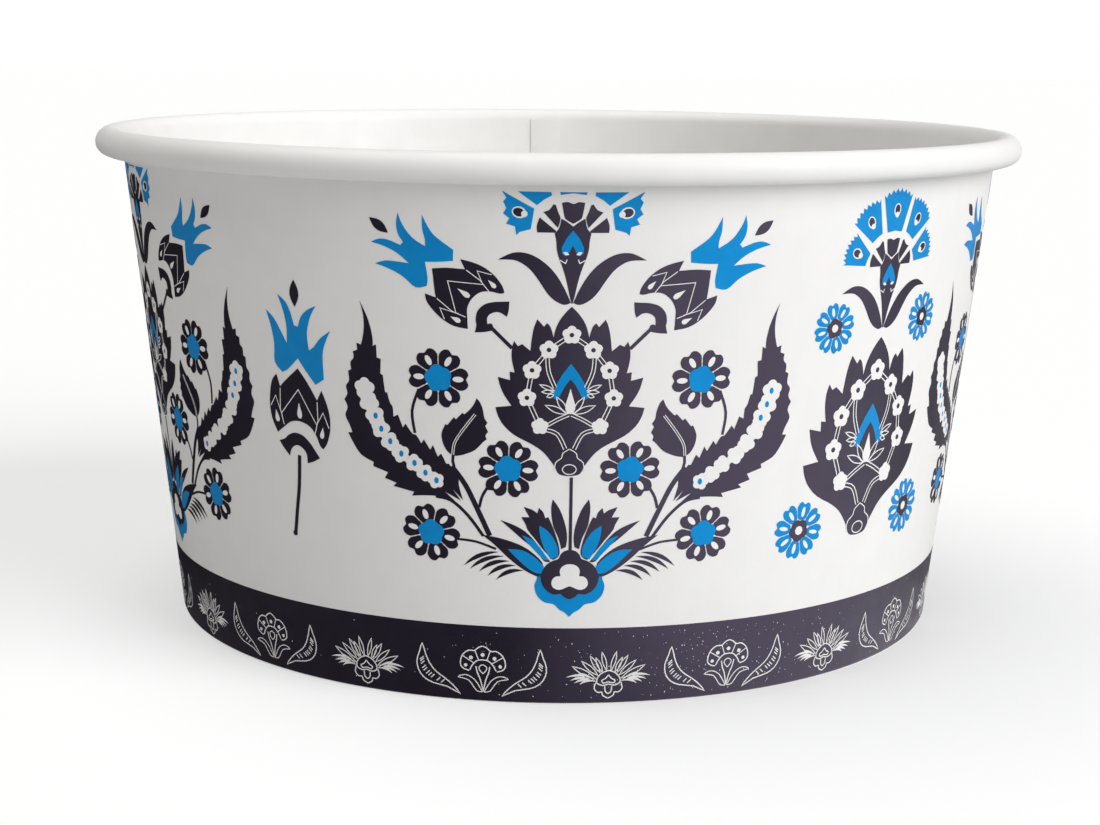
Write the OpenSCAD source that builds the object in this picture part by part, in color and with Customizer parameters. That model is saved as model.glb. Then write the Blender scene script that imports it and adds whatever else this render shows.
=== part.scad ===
// Round paper soup bowl: a rolled-rim sidewall, a recessed base and a flower print.
// Millimetres. The bowl stands on z = 0 on its own axis, and its front faces -Y.

/* [Bowl] */
// Outer diameter over the rolled rim
rim_d = 150; // [120:1:180]
// Height from the table to the top of the rim
height = 78.5; // [60:0.5:110]
// Outer diameter of the wall at the table
foot_d = 125.5; // [100:0.5:135]

/* [Paperboard] */
// Thickness of the sidewall board
wall_t = 0.45; // [0.3:0.05:0.7]
// Thickness of the base board
base_t = 0.45; // [0.3:0.05:0.7]
// Room between boards that are sealed together
seal_gap = 0.05; // [0.02:0.01:0.1]

/* [Rolled rim] */
// Diameter of the roll
roll_d = 4.6; // [3.4:0.1:6]
// Room between the turns of the roll
roll_gap = 0.15; // [0.1:0.05:0.3]

/* [Foot] */
// Depth of the recess under the base
recess = 7; // [5:0.5:10]
// Height of the hem that is folded up inside the base skirt
hem_h = 5.4; // [3:0.2:5.4]
// How far the fold is pressed flat on the table
foot_flat = 0.12; // [0.05:0.01:0.2]
// Outer radius of the bend between the base and its skirt
base_bend = 1; // [0.8:0.1:1.5]

/* [Side seam] */
// Width of the lap where the blank's ends are sealed
lap_w = 6; // [4:0.5:10]
// How far the inner end stands in from the wall
lap_t = 0.3; // [0.2:0.05:0.45]
// Azimuth by which the print is set back from the lap
lap_free = 1; // [0:0.2:4]

/* [Print] */
// Thickness that the ink is drawn with
ink_t = 0.1; // [0.06:0.02:0.2]
// Room between the wall's face and the ink
ink_gap = 0.02; // [0.02:0.01:0.05]
// Height of the dark foot band, up the wall
band_h = 11.7; // [8:0.1:16]
// Bare edge of the band at the fold
band_foot = 0.7; // [0.6:0.1:1.5]
// Bare strip between the print and the top of the wall, under the roll
print_gap = 3.3; // [2:0.1:6]
// Azimuth of the front bouquet, from +X towards +Y
front_at = 271.7; // [265:0.1:280]
// Step from a bouquet to the next across a tulip
tulip_step = 69.6; // [68:0.2:72]
// Step from a bouquet to the next across a carnation
carnation_step = 83; // [81:0.2:84]

/* [Colours] */
// Paperboard
paper = "whitesmoke"; // [white, whitesmoke, ivory]
// Dark ink
dark = "#2f2a3e"; // [#2f2a3e, #222222, #3b2f4a]
// Blue ink
blue = "#1390dd"; // [#1390dd, #0f7fc4, #2aa0e6]

/* [Hidden] */
$fn = 180;

rim_r = rim_d / 2;
foot_r = foot_d / 2;
roll_r = roll_d / 2;
// Width of the folded foot: the wall, the base skirt and the hem, with the room between them
fold_w = 2 * wall_t + base_t + 2 * seal_gap;
fold_r = fold_w / 2;
// Middle of the roll's first turn
roll_c = [rim_r - roll_r, height - roll_r];
// The wall's outer face runs from the foot to the first turn, which it touches
lean = atan2(roll_c.x - foot_r, roll_c.y)
     - asin((roll_r - wall_t) / norm(roll_c - [foot_r, 0]));
// Height of the fold's middle, and its distance from the axis
fold_z = fold_r - foot_flat;
fold_x = foot_r + (fold_z - fold_r * sin(lean)) * tan(lean) - fold_r * cos(lean);
// Length of the wall's face, from the fold to where the roll starts
wall_len = (roll_c.x - fold_x) * sin(lean) + (roll_c.y - fold_z) * cos(lean);
// Radii and middles of the roll's second and third turns
roll_r2 = roll_r - (wall_t + roll_gap) / 2;
roll_c2 = [rim_r - roll_r2, roll_c.y];
roll_r3 = roll_r2 - (wall_t + roll_gap) / 2;
roll_c3 = [roll_c2.x - roll_r2 + roll_r3, roll_c.y];
// Distance from the flat blank's centre to the wall's lower edge
blank_r = foot_r / sin(lean);
// The lap's angle, and how far above the base it starts
lap_angle = lap_w / roll_c.x * 180 / PI;
lap_foot = recess + base_bend;
// Where the print ends, up the wall's face from the table
print_top = wall_len + fold_z - print_gap;
// How deep a motif is cut into the wall before the ink film is kept
cut_depth = 3;
// The motifs are drawn for a bowl of this height and foot, and shrink or grow with the bowl
drawn_for = [78.5, 125.5];
motif_scale = min(height / drawn_for[0], foot_d / drawn_for[1]);
// Where the print stands: each bouquet, tulip and carnation column, by azimuth
repeat_step = tulip_step + carnation_step;
bouquets = [
    front_at - repeat_step + lap_free, front_at - tulip_step, front_at, front_at + carnation_step,
    front_at + repeat_step
];
tulips = [front_at - tulip_step / 2, front_at + carnation_step + tulip_step / 2];
columns = [front_at + carnation_step / 2, front_at - tulip_step - carnation_step / 2];
// The blank's ends meet between the first bouquet and the last
lap_at = (bouquets[0] + bouquets[4] - 360) / 2;

// Section of the slanted wall: x is across the board, y is up its face
module along_wall() {
    translate([fold_x, fold_z]) rotate(-lean) children();
}

// Half of a ring of board: side 1 is its upper half, side -1 its lower half
module half_turn(middle, r, t, side) {
    translate(middle) intersection() {
        difference() {
            circle(r);
            circle(r - t);
        }
        translate([-r, side > 0 ? 0 : -r]) square([2 * r, r]);
    }
}

module wall_section() {
    along_wall() {
        translate([fold_r - wall_t, 0]) square([wall_t, wall_len]);
        translate([-fold_r, 0]) square([wall_t, hem_h]);
        half_turn([0, 0], fold_r, wall_t, -1);
    }
}

module roll_section() {
    half_turn(roll_c, roll_r, wall_t, 1);
    half_turn(roll_c2, roll_r2, wall_t, -1);
    // The board's end lies inside the roll, a quarter turn on
    intersection() {
        half_turn(roll_c3, roll_r3, wall_t, 1);
        translate([roll_c3.x - roll_r3, roll_c3.y]) square(roll_r3);
    }
}

module sidewall() {
    color(paper) {
        rotate_extrude() difference() {
            union() {
                wall_section();
                roll_section();
            }
            translate([fold_x - fold_w, -fold_w]) square([2 * fold_w, fold_w]);
        }
        rotate([0, 0, lap_at - lap_angle / 2]) rotate_extrude(angle = lap_angle)
            along_wall() translate([fold_r - wall_t - lap_t, lap_foot])
                square([lap_t + wall_t / 2, wall_len - lap_foot]);
    }
}

module base_section() {
    skirt_x = base_t / 2;
    // Middle of the bend, which meets the skirt's outer face and the floor's upper face
    bend_z = recess + base_t - base_bend;
    bend_up = (bend_z - fold_z + (skirt_x - base_bend) * sin(lean)) / cos(lean);
    bend_x = fold_x + (skirt_x - base_bend) * cos(lean) + bend_up * sin(lean);
    along_wall() translate([-skirt_x, seal_gap]) square([base_t, bend_up - seal_gap]);
    translate([0, recess]) square([bend_x, base_t]);
    translate([bend_x, bend_z]) intersection() {
        difference() {
            circle(base_bend);
            circle(base_bend - base_t);
        }
        polygon([
            [0, 0],
            2 * base_bend * [cos(lean), -sin(lean)],
            2 * base_bend * [1, 1],
            [0, 2 * base_bend]
        ]);
    }
}

module base_disc() {
    color(paper) rotate_extrude() base_section();
}

// Point at t, from 0 to 1, of the curve that four points pull
function along(p, t) = pow(1 - t, 3) * p[0] + 3 * t * pow(1 - t, 2) * p[1]
                     + 3 * t * t * (1 - t) * p[2] + pow(t, 3) * p[3];
// Direction of that curve at t
function heading(p, t) = let(d = along(p, min(1, t + 0.01)) - along(p, max(0, t - 0.01))) d / norm(d);
// Outline of a blade round a curve, w wide at its fullest, with n steps.
// low makes it full near its root, and saw draws in every second point.
function blade(p, w, n, low = 1, saw = 0) = let(
    half = function(i) w / 2 * sin(180 * pow(i / n, low)) * (1 - saw * (i % 2)),
    edge = function(i, s) let(h = heading(p, i / n)) along(p, i / n) + s * half(i) * [-h.y, h.x]
) concat([for (i = [0:n]) edge(i, 1)], [for (i = [n - 1:-1:1]) edge(i, -1)]);
// A ray from the middle of a fan, at an angle from straight up
function ray(r, a) = r * [sin(a), cos(a)];
// The same points on the other side of the axis
function flip(points) = [for (p = points) [-p.x, p.y]];

// Stands a flat drawing on the wall at azimuth at, and keeps what lies in the ink film.
// The drawing is in the flat blank's millimetres: x across from the motif's axis, y up from the foot.
// The wall is met square at the drawing's point middle.
module stamp(at, middle) {
    spot = motif_scale * middle;
    turn = atan2(spot.x, blank_r + spot.y);
    up = norm([spot.x, blank_r + spot.y]) - blank_r;
    rotate([0, 0, at + turn / sin(lean)])
        translate([foot_r + up * sin(lean), 0, up * cos(lean)])
            rotate([90 + lean, 0, 90]) rotate(turn) translate([-spot.x, -spot.y, -cut_depth])
                linear_extrude(cut_depth + 1) scale(motif_scale) children();
}

// Section of the ink film on the wall's face, between two heights up the face
module film_section(from, to) {
    along_wall() translate([fold_r + ink_gap, from - fold_z]) square([ink_t, to - from]);
}

// Both sides of a motif that is the same left and right
module pair(at, middle) {
    for (side = [0, 1])
        stamp(at, [(1 - 2 * side) * middle.x, middle.y]) mirror([side, 0]) children();
}

// Rosette of notched petals round an open middle
module rosette_petals(middle, r, petals) {
    step = 360 / petals;
    translate(middle) difference() {
        polygon([
            for (i = [1:petals])
                each [ray(0.52 * r, (i - 0.5) * step), ray(r, (i - 0.24) * step), ray(r, (i + 0.24) * step)]
        ]);
        rosette_heart(r);
    }
}

module rosette_heart(r) {
    polygon([for (a = [0:60:300]) ray(0.44 * r, a)]);
}

// Palmette with saw-edged petals, drawn in a unit of its own height
palmette_edge = [
    [0, 1], [0.06, 0.92], [0.1, 0.82], [0.14, 0.89], [0.19, 0.92], [0.23, 0.74], [0.28, 0.78], [0.33, 0.79],
    [0.33, 0.66], [0.3, 0.6], [0.42, 0.58], [0.38, 0.49], [0.32, 0.42], [0.43, 0.4], [0.36, 0.28],
    [0.2, 0.18], [0.11, 0.08], [0.06, 0.01]
];
palmette_flowers = [[0, 0.835], [0.13, 0.745], [0.22, 0.63], [0.25, 0.465], [0.17, 0.295]];
palmette_flame = [[0, 0.67], [0.1, 0.5], [0.09, 0.46], [0.05, 0.47], [0, 0.58]];

module palmette(foot, size) {
    translate([0, foot]) scale(size) difference() {
        polygon(concat(palmette_edge, flip([for (i = [len(palmette_edge) - 1:-1:1]) palmette_edge[i]])));
        for (p = palmette_flowers, s = [1, -1]) if (p.x > 0 || s > 0)
            translate([s * p.x, p.y]) circle(0.052, $fn = 5);
        flame_outline();
    }
}

module flame_outline() {
    polygon(concat(palmette_flame, flip([palmette_flame[3], palmette_flame[2], palmette_flame[1]])));
}

module palmette_heart(foot, size) {
    translate([0, foot]) scale(size) flame_outline();
}

// Carnation: a fan of petals over a calyx with two curved leaves, standing on a point
fan_angles = [0, 34, -34, 66, -66];
module carnation_petal(foot, size, angle) {
    inner = angle == 0 ? 6.6 : 5.7;
    outer = abs(angle) > 60 ? 9 : 11.6;
    translate([0, foot]) scale(size) translate([0, 8.2]) polygon([
        ray(inner, angle - 13), ray(outer, angle - 15), ray(outer + 0.7, angle - 5),
        ray(outer + 0.7, angle + 5), ray(outer, angle + 15), ray(inner, angle + 13)
    ]);
}

module carnation_calyx(foot, size) {
    translate([0, foot]) scale(size) {
        polygon([
            [0, 0.3], [1.6, 5.5], [2.6, 9], [4.8, 9.8], [4, 12], [2.6, 10.6], [3, 12.6],
            [1.5, 13.4], [-1.5, 13.4], [-3, 12.6], [-2.6, 10.6], [-4, 12], [-4.8, 9.8], [-2.6, 9], [-1.6, 5.5]
        ]);
    }
}

module carnation_leaf(foot, size) {
    translate([0, foot]) scale(size) polygon(blade([[0.2, 0], [4.2, 1.5], [4.5, 7], [9.3, 6]], 2.2, 7));
}

// Tulip on its stem, standing on a point and leaning by an angle
module tulip_body(foot, size, angle) {
    translate(foot) rotate(angle) scale(size) {
        polygon([
            [-4.4, 4], [-5.2, 7], [-4.6, 10.4], [-3.8, 12.2], [-2.7, 9.8], [0, 13.4], [2.7, 9.8], [3.8, 12.2],
            [4.6, 10.4], [5.2, 7], [4.4, 4], [2, 5.6], [-2, 5.6]
        ]);
        polygon([[-4.2, 2], [-1.6, 4], [1.6, 4], [4.2, 2], [2.6, 1], [1.2, 2.3], [-1.2, 2.3], [-2.6, 1]]);
        translate([0, 23.6]) polygon([[0, -2], [0.8, 0.4], [0, 2], [-0.8, 0.4]]);
    }
}

module tulip_flames(foot, size, angle) {
    translate(foot) rotate(angle) scale(size) polygon([
        [-2.4, 12], [-4.2, 14], [-4.6, 18], [-5.6, 21.6], [-2.6, 18.2], [-2.4, 20.6], [-3.4, 23.6],
        [-0.6, 20.4], [0, 18.6], [0.6, 20.4], [3.4, 23.6], [2.4, 20.6], [2.6, 18.2], [5.6, 21.6],
        [4.6, 18], [4.2, 14], [2.4, 12], [0, 15]
    ]);
}

// Long saw-edged leaf that curls up beside the bouquet, with a chain of small flowers left open
leaf_line = [[13, 29], [22, 33.5], [31.5, 39], [29.8, 57.4]];
// Where the chain starts and ends along the leaf
chain_span = [0.16, 0.8];
module long_leaf() {
    chain = [for (i = [0:3]) along(leaf_line, chain_span[0] + (chain_span[1] - chain_span[0]) * i / 3)];
    difference() {
        polygon(blade(leaf_line, 9.6, 20, 1.05, 0.12));
        polygon(blade(chain, 3.2, 10, 1, 0.3));
    }
}

module leaf_stems() {
    polygon(blade([[10.6, 24.6], [12.5, 27.5], [14, 32], [18, 36.5]], 1.1, 4));
    polygon(blade([[11.4, 24.8], [13.6, 27], [15, 30.2], [20, 30.6]], 0.9, 4));
}

module small_leaf() {
    polygon(blade([[16, 34.8], [17.8, 38], [14, 41], [12.7, 45]], 6, 8, 0.8, 0.15));
}

// Lotus at the foot of the bouquet
lotus_dark = [
    [0.4, 23.2], [2.3, 30.8], [2.5, 27.6], [3.6, 28.4], [4.3, 29.6], [6.5, 29.4], [5.6, 26.6], [9.6, 27.6],
    [6.2, 24.4], [12.4, 25.3], [9, 22], [4, 19.2], [3.6, 17.4], [0, 16.4]
];
lotus_flames = [
    [[2.3, 22.2], [2.8, 25.2], [4.5, 27], [4.6, 24.2], [3, 22.2]],
    [[3.6, 21.8], [5, 24.4], [7.4, 25.4], [6, 23.4]],
    [[4, 20.6], [6, 22.8], [9, 23.4], [7, 21.2], [4.4, 19.8]]
];
lotus_eye = [[0, 21.4], [1, 21], [1.4, 19.6], [2.4, 18.6], [1.6, 17.6], [-1.6, 17.6]];
module lotus() {
    difference() {
        polygon(concat(lotus_dark, flip([for (i = [len(lotus_dark) - 2:-1:1]) lotus_dark[i]])));
        lotus_petals();
        polygon(concat(lotus_eye, flip([lotus_eye[3], lotus_eye[2], lotus_eye[1]])));
    }
}

module lotus_petals() {
    for (f = lotus_flames) {
        polygon(f);
        polygon(flip(f));
    }
}

module lotus_cup() {
    polygon([
        [-3.6, 17.4], [-4, 19.2], [-4.6, 17.6], [-3.8, 15.8], [-1.8, 15], [0, 13.5], [1.8, 15], [3.8, 15.8],
        [4.6, 17.6], [4, 19.2], [3.6, 17.4], [0, 16.4]
    ]);
}

// Middles of a bouquet's rosettes, and middle and radius of a carnation column's
rosettes = [[18.2, 47.4], [8.4, 35], [19.4, 25]];
column_rosettes = [[10, 53.8, 3.6], [12.3, 24, 4.2]];

module bouquet_dark(at) {
    stamp(at, [0, 46]) palmette(34.2, 23.9);
    stamp(at, [0, 65]) carnation_calyx(58.2, 1.06);
    stamp(at, [0, 22]) lotus();
    stamp(at, [0, 29]) translate([-0.25, 23]) square([0.5, 11.2]);
    pair(at, [5, 62]) carnation_leaf(58.2, 1.06);
    pair(at, [26, 42]) long_leaf();
    pair(at, [14, 30]) leaf_stems();
    pair(at, [15, 40]) small_leaf();
    pair(at, [16, 60]) tulip_body([9.4, 52.8], 0.87, -47);
    for (p = rosettes) pair(at, p) rosette_petals(p, 4.2, 6);
}

module bouquet_blue(at) {
    stamp(at, [0, 46]) palmette_heart(34.2, 23.9);
    stamp(at, [0, 22]) {
        lotus_petals();
        lotus_cup();
    }
    pair(at, [7, 71]) carnation_petal(58.2, 1.06, 66);
    pair(at, [22, 66]) tulip_flames([9.4, 52.8], 0.87, -47);
    for (p = rosettes) pair(at, p) translate(p) rosette_heart(4.2);
}

// Foot band: a field of dark ink right round, from the fold up
module foot_band() {
    color(dark) rotate_extrude() film_section(band_foot, band_h);
}

module dark_print() {
    color(dark) intersection() {
        rotate_extrude() film_section(band_h, print_top);
        union() {
            for (at = bouquets) bouquet_dark(at);
            for (at = tulips) stamp(at, [0, 42]) {
                tulip_body([0, 32.4], 1.05, -7);
                translate([-0.3, 22]) square([0.6, 11.5]);
            }
            for (at = columns) {
                stamp(at, [0, 36]) palmette(21.6, 30);
                stamp(at, [0, 60]) carnation_calyx(52.7, 1);
                pair(at, [5, 56]) carnation_leaf(52.7, 1);
                for (p = column_rosettes) pair(at, p) translate([p.x, p.y]) rosette_heart(p.z);
            }
        }
    }
}

module blue_print() {
    color(blue) intersection() {
        rotate_extrude() film_section(band_h, print_top);
        union() {
            for (at = bouquets) bouquet_blue(at);
            for (at = tulips) stamp(at, [0, 52]) tulip_flames([0, 32.4], 1.05, -7);
            for (at = columns) {
                stamp(at, [0, 36]) palmette_heart(21.6, 30);
                for (a = fan_angles) stamp(at, [0, 66]) carnation_petal(52.7, 1, a);
                for (p = column_rosettes) pair(at, p) rosette_petals([p.x, p.y], p.z, 8);
            }
        }
    }
}

sidewall();
base_disc();
foot_band();
dark_print();
blue_print();
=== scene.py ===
# %% [markdown]
# # A round paper soup bowl with a flower print
# The real bowl is two pieces of coated board: a wall that is wrapped into a cone, with its upper
# edge curled into a fat roll and its lower edge folded into a foot, and a base that sits inside.
# The print is two inks, a dark one and a blue one, with fine lines left bare between them.
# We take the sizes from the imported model, make the board by spinning lines round the axis, and
# draw the print flat, as the printer does, before it is rolled onto the cone.

import random
from math import asin, atan2, cos, degrees, hypot, pi, radians, sin

import bmesh
import bpy
from mathutils import Matrix, Vector


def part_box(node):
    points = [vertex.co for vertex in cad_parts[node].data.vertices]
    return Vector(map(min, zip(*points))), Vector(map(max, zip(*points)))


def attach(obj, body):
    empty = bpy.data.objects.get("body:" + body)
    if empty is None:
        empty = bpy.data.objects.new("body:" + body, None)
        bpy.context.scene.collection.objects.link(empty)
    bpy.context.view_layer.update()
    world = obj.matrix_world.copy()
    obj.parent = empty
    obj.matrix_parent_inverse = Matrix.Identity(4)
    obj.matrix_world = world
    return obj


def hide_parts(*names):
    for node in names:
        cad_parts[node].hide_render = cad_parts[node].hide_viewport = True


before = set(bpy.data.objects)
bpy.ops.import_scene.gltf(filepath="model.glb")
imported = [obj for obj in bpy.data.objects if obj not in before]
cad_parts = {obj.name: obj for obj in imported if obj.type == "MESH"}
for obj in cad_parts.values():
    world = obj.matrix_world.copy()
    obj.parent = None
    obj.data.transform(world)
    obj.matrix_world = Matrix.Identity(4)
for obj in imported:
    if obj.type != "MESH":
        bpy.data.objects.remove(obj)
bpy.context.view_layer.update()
MM = 0.001


def in_mm(lengths):
    return [round(c / MM, 2) for c in lengths]


# %% [markdown]
# ## The camera
# A camera first. Its place and
# turn were worked out from the ellipses of the rim and the foot: it stands a third of a metre in
# front, a little above the rim, and looks down by about eleven degrees. A long lens of 66 mm keeps
# the rim from flaring.

# %% Camera
PHOTO_WIDTH = 1100
SENSOR_WIDTH = 36
FOCAL_PIXELS = 2013.6
CAMERA_PLACE = Vector((0, -336.27, 94.16)) * MM
CAMERA_YAW, CAMERA_PITCH, CAMERA_ROLL = -0.0028, -0.1878, 0.0105


def camera_axes(yaw, pitch, roll):
    forward = Vector((sin(yaw) * cos(pitch), cos(yaw) * cos(pitch), sin(pitch)))
    level = Vector((cos(yaw), -sin(yaw), 0))
    upright = level.cross(forward)
    right = cos(roll) * level + sin(roll) * upright
    return right, cos(roll) * upright - sin(roll) * level, -forward


def make_camera():
    camera = bpy.data.objects.new("camera", bpy.data.cameras.new("camera"))
    camera.data.sensor_width = SENSOR_WIDTH
    camera.data.lens = FOCAL_PIXELS * SENSOR_WIDTH / PHOTO_WIDTH
    turn = Matrix(camera_axes(CAMERA_YAW, CAMERA_PITCH, CAMERA_ROLL)).transposed().to_4x4()
    camera.matrix_world = Matrix.Translation(CAMERA_PLACE) @ turn
    bpy.context.collection.objects.link(camera)
    bpy.context.scene.camera = camera
    return camera


print("lens in mm:", round(make_camera().data.lens, 2))

# %% [markdown]
# ## The bowl's own measures
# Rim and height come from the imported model, the rest are the board's and the foot's own sizes.
# The lean of the wall follows from them: the wall has to reach the roll and touch its first turn.

# %% Measures in millimetres
rim_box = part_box("sidewall")
RIM_R = rim_box[1][0] / MM
HEIGHT = rim_box[1][2] / MM
FOOT_R = 62.75
BOARD = 0.45
SEAL_GAP = 0.05
ROLL_R = 2.3
ROLL_GAP = 0.15
HEM = 5.4
FOOT_FLAT = 0.12
RECESS = 7
BASE_BEND = 1

FOLD_R = 3 * BOARD / 2 + SEAL_GAP
ROLL_X, ROLL_Z = RIM_R - ROLL_R, HEIGHT - ROLL_R
LEAN = atan2(ROLL_X - FOOT_R, ROLL_Z) - asin((ROLL_R - BOARD) / hypot(ROLL_X - FOOT_R, ROLL_Z))
FOLD_Z = FOLD_R - FOOT_FLAT
FOLD_X = FOOT_R + (FOLD_Z - FOLD_R * sin(LEAN)) * sin(LEAN) / cos(LEAN) - FOLD_R * cos(LEAN)
WALL_LENGTH = (ROLL_X - FOLD_X) * sin(LEAN) + (ROLL_Z - FOLD_Z) * cos(LEAN)
BLANK_R = FOOT_R / sin(LEAN)
print("lean in degrees:", round(degrees(LEAN), 2), "- wall length:", round(WALL_LENGTH, 2))


def on_wall(across, up):
    """Radius and height of a point beside the wall's middle line."""
    return FOLD_X + across * cos(LEAN) + up * sin(LEAN), FOLD_Z - across * sin(LEAN) + up * cos(LEAN)


def beside_wall(radius, z):
    """The other way round: how far a point lies across the wall, and how far up it."""
    x, y = radius - FOLD_X, z - FOLD_Z
    return x * cos(LEAN) - y * sin(LEAN), x * sin(LEAN) + y * cos(LEAN)


# %% [markdown]
# ## The side seam
# The blank's two ends overlap at the back, between two bouquets of the print. Outside, one end
# lies on the other, so its cut edge stands proud by most of the board's thickness, and the wall
# eases back to its round shape over a few degrees. The fold and the roll press the step flat, so
# it fades out in the lowest and the highest row of the wall's mesh. Board and ink share this push.

# %% Seam
FRONT = 1.7
SEAM = radians(FRONT + 180.5)
SEAM_STEP = 0.3
SEAM_EASE = radians(6)
EDGE_WIDTH = radians(0.05)
LAP_WIDTH, LAP_DEPTH, LAP_FOOT, LAP_STEPS = 6, 0.1, 8, 6
WALL_ROWS = 24
ROW = WALL_LENGTH / WALL_ROWS
OUTERMOST = FOLD_R + 0.2
CUT = 0.0001


def seam_push(azimuth, up):
    """How far the wall stands out at an azimuth from the front and a place up its face."""
    past = (azimuth - SEAM) % (2 * pi)
    if past > SEAM_EASE:
        return 0
    ends = max(0, min(1, up / ROW, (WALL_LENGTH - up) / ROW))
    rise = min(1, past / EDGE_WIDTH)
    return SEAM_STEP * ends * rise * (1 - past / SEAM_EASE) ** 2


def cut_flat(mesh, place, normal, **kept):
    """Cuts the whole mesh along a plane."""
    geometry = mesh.verts[:] + mesh.edges[:] + mesh.faces[:]
    bmesh.ops.bisect_plane(mesh, geom=geometry, dist=CUT, plane_co=place, plane_no=normal, **kept)


def push_out(vert, distance):
    """Moves a vertex straight away from the bowl's axis."""
    vert.co.xy *= 1 + distance / hypot(vert.co.x, vert.co.y)


def push_seam(mesh):
    """Cuts the mesh along the seam's edge, and pushes out what lies past it."""
    for turn in (SEAM, SEAM + EDGE_WIDTH):
        cut_flat(mesh, (0, 0, 0), (cos(turn), sin(turn), 0))
    for vert in mesh.verts:
        x, y, z = vert.co
        across, up = beside_wall(hypot(x, y), z)
        if 0 < across < OUTERMOST:
            push_out(vert, seam_push(atan2(x, -y), up))


# %% [markdown]
# ## Turning a line into board
# As a closed outline, board would have its thickness drawn by hand along every curve. It is
# simpler to draw one face of it as a single line, spin that into a shell and let solidify give
# the thickness. The line grows by an extrude for each straight run and a spin for each bend.

# %% Line tools
SECTORS = 480
WELD = 0.001


def verts_in(geometry):
    return (g for g in geometry if isinstance(g, bmesh.types.BMVert))


def start_line(mesh, point):
    return mesh.verts.new((point[0], 0, point[1]))


def run_to(mesh, vert, point, runs=1):
    """Extrudes the line's end to a point, in equal runs."""
    step = (Vector((point[0], 0, point[1])) - vert.co) / runs
    for _ in range(runs):
        vert = bmesh.ops.extrude_vert_indiv(mesh, verts=[vert])["verts"][0]
        vert.co += step
    return vert


def bend_round(mesh, vert, middle, angle, steps):
    """Swings the line's end about a middle. A positive angle goes over the top and outwards."""
    swung = bmesh.ops.spin(
        mesh, geom=[vert], cent=(middle[0], 0, middle[1]), axis=(0, 1, 0), angle=angle, steps=steps
    )
    return next(verts_in(swung["geom_last"]))


def thicken(mesh, thickness):
    bmesh.ops.recalc_face_normals(mesh, faces=mesh.faces)
    bmesh.ops.solidify(mesh, geom=mesh.faces[:], thickness=thickness)
    bmesh.ops.recalc_face_normals(mesh, faces=mesh.faces)


def spin_shell(mesh, thickness):
    """Spins the line right round the bowl's axis, and gives the shell its thickness."""
    bmesh.ops.spin(
        mesh, geom=mesh.verts[:] + mesh.edges[:], cent=(0, 0, 0), axis=(0, 0, 1),
        angle=2 * pi, steps=SECTORS, use_merge=True,
    )
    bmesh.ops.remove_doubles(mesh, verts=mesh.verts, dist=WELD)
    thicken(mesh, thickness)


# %% [markdown]
# ## Finishing a piece
# Every piece is modelled in millimetres, scaled to metres, shaded smooth with its sharp edges
# kept, and given to the bowl's one body. Nothing on this bowl moves.

# %% Finish a piece
SHARP_ANGLE = radians(40)


def add_object(name, mesh, material):
    data = bpy.data.meshes.new(name)
    mesh.to_mesh(data)
    mesh.free()
    data.materials.append(material)
    result = bpy.data.objects.new(name, data)
    bpy.context.collection.objects.link(result)
    return result


def finish_piece(name, mesh, material, slot, *nodes):
    bmesh.ops.scale(mesh, vec=(MM, MM, MM), verts=mesh.verts)
    piece = add_object(name, mesh, material)
    piece.data.shade_smooth()
    piece.data.set_sharp_from_angle(angle=SHARP_ANGLE)
    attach(piece, "root")
    if nodes:
        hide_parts(*nodes)
    piece.data.calc_loop_triangles()
    print(name, "in mm:", in_mm(piece.dimensions), "with", len(piece.data.loop_triangles), "triangles")


# %% [markdown]
# ## Coated paperboard
# Cup board is bleached pulp with a thin film of plastic on it. From near by it isn't one white:
# the pulp lies in faint clouds a few millimetres wide, its fibres give the face a fine tooth, and
# the film makes it satin and not matt. Two noises make that, the wide one for colour and both for
# relief. They read Object coordinates, so that they stay put on the piece.

# %% Board and ink materials
NOISE_SPAN = (0.3, 0.7)
CLOUD_DETAIL, TOOTH_DETAIL = 3, 6
TOOTH_STRENGTH = 0.5


def new_material(name):
    material = bpy.data.materials.new(name)
    material.use_nodes = True
    return material, material.node_tree.nodes


def feed(place, value):
    """Gives a node's input a value, or joins another node's output to it."""
    if isinstance(value, bpy.types.NodeSocket):
        place.id_data.links.new(value, place)
    else:
        place.default_value = value


def put(nodes, kind, *first, **named):
    """Adds a shader node and feeds its inputs, in order or by name, with _ for a space."""
    node = nodes.new("ShaderNode" + kind)
    for place, value in zip(node.inputs, first):
        feed(place, value)
    for name, value in named.items():
        feed(node.inputs[name.replace("_", " ")], value)
    return node


def noise(nodes, size, detail):
    """A noise whose grain is about size millimetres across."""
    place = put(nodes, "TexCoord").outputs["Object"]
    return put(nodes, "TexNoise", Vector=place, Scale=1 / (size * MM), Detail=detail).outputs["Fac"]


def spread(nodes, value, span, low, high):
    """A value that goes from low to high while another one crosses a span."""
    ends = {"From_Min": span[0], "From_Max": span[1], "To_Min": low, "To_Max": high}
    return put(nodes, "MapRange", Value=value, **ends).outputs["Result"]


def clouded(nodes, value, dark, light):
    """A colour that drifts between two tones with the noise."""
    ramp = put(nodes, "ValToRGB", Fac=value)
    for stop, place, tone in zip(ramp.color_ramp.elements, NOISE_SPAN, (dark, light)):
        stop.position = place
        stop.color = (*tone, 1)
    return ramp.outputs["Color"]


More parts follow.
